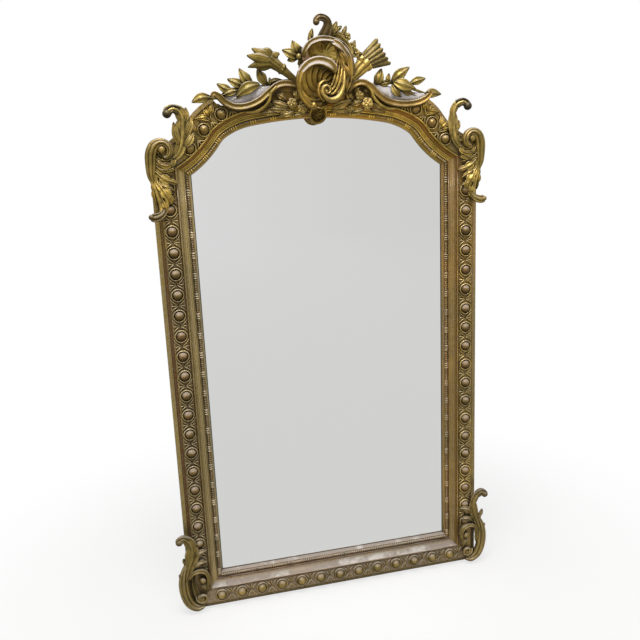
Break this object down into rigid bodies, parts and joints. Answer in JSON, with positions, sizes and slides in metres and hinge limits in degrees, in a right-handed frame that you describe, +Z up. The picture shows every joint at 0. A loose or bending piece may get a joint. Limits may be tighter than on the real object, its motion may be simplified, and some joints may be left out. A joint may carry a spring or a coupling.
{
  "type": "rococo wall mirror",
  "caption": "Tall giltwood wall mirror with an arched head, egg-and-dart moulding, scrolled leaf corners, a shell crest with torch and quiver, and swinging hanging rings at the back.",
  "frame": {"origin": "middle of the bottom carcass rail's back face, on the wall plane", "axes": "+Z up, +X to the right as seen from the front, +Y towards the wall, so the glass faces -Y"},
  "size_m": [1.0402, 0.1288, 1.7672],
  "materials": {
    "mirror": "silvered plate glass",
    "gilt_moulding": "aged gold leaf over red-brown bole on gesso",
    "gilt_carving": "aged gold leaf with pale rubbed edges",
    "softwood": "bare aged pine",
    "iron": "dark forged iron",
    "steel": "dull steel screws"
  },
  "bodies": {
    "frame": {"arrow_feathers": "gilt_carving", "back_screws": "steel", "backboard_left": "softwood", "backboard_middle": "softwood", "backboard_right": "softwood", "bottom_leaf_left": "gilt_carving", "bottom_leaf_right": "gilt_carving", "bottom_scroll_left": "gilt_carving", "bottom_scroll_right": "gilt_carving", "bottom_volute_left": "gilt_carving", "bottom_volute_right": "gilt_carving", "carcass_bottom_rail": "softwood", "carcass_stile_left": "softwood", "carcass_stile_right": "softwood", "carcass_top_rail": "softwood", "cartouche_hood": "gilt_carving", "cartouche_scroll": "gilt_carving", "cartouche_shell": "gilt_carving", "crest_bar_left": "gilt_carving", "crest_bar_right": "gilt_carving", "crest_blossoms": "gilt_carving", "crest_core": "softwood", "crest_plume": "gilt_carving", "crest_ribbon_left": "gilt_carving", "crest_ribbon_right": "gilt_carving", "crest_roses": "gilt_carving", "crest_strap": "iron", "drop_leaf_left": "gilt_carving", "drop_leaf_right": "gilt_carving", "egg_run_bottom": "gilt_moulding", "egg_run_left": "gilt_moulding", "egg_run_right": "gilt_moulding", "egg_run_top": "gilt_moulding", "glazing_blocks": "softwood", "hanger_plate_left": "iron", "hanger_plate_right": "iron", "hood_rim": "gilt_carving", "laurel_left": "gilt_carving", "laurel_right": "gilt_carving", "mirror_glass": "mirror", "moulding_bottom": "gilt_moulding", "moulding_left": "gilt_moulding", "moulding_right": "gilt_moulding", "moulding_shoulder_left": "gilt_moulding", "moulding_shoulder_right": "gilt_moulding", "moulding_top": "gilt_moulding", "pendant_shell": "gilt_carving", "quiver": "gilt_carving", "sight_strip_bottom": "gilt_moulding", "sight_strip_left": "gilt_moulding", "sight_strip_right": "gilt_moulding", "sight_strip_top": "gilt_moulding", "top_leaf_left": "gilt_carving", "top_leaf_right": "gilt_carving", "top_volute_left": "gilt_carving", "top_volute_right": "gilt_carving", "torch_flame": "gilt_carving", "torch_handle": "gilt_carving"},
    "ring_left": {"hanger_ring_left": "iron"},
    "ring_right": {"hanger_ring_right": "iron"}
  },
  "joints": [
    {"name": "ring_left_swing", "type": "hinge", "parent": "frame", "child": "ring_left", "pos_m": [-0.448, -0.0054, 1.068], "axis": [1, 0, 0], "range_deg": [0, 180]},
    {"name": "ring_right_swing", "type": "hinge", "parent": "frame", "child": "ring_right", "pos_m": [0.448, -0.0054, 1.068], "axis": [1, 0, 0], "range_deg": [0, 180]}
  ]
}
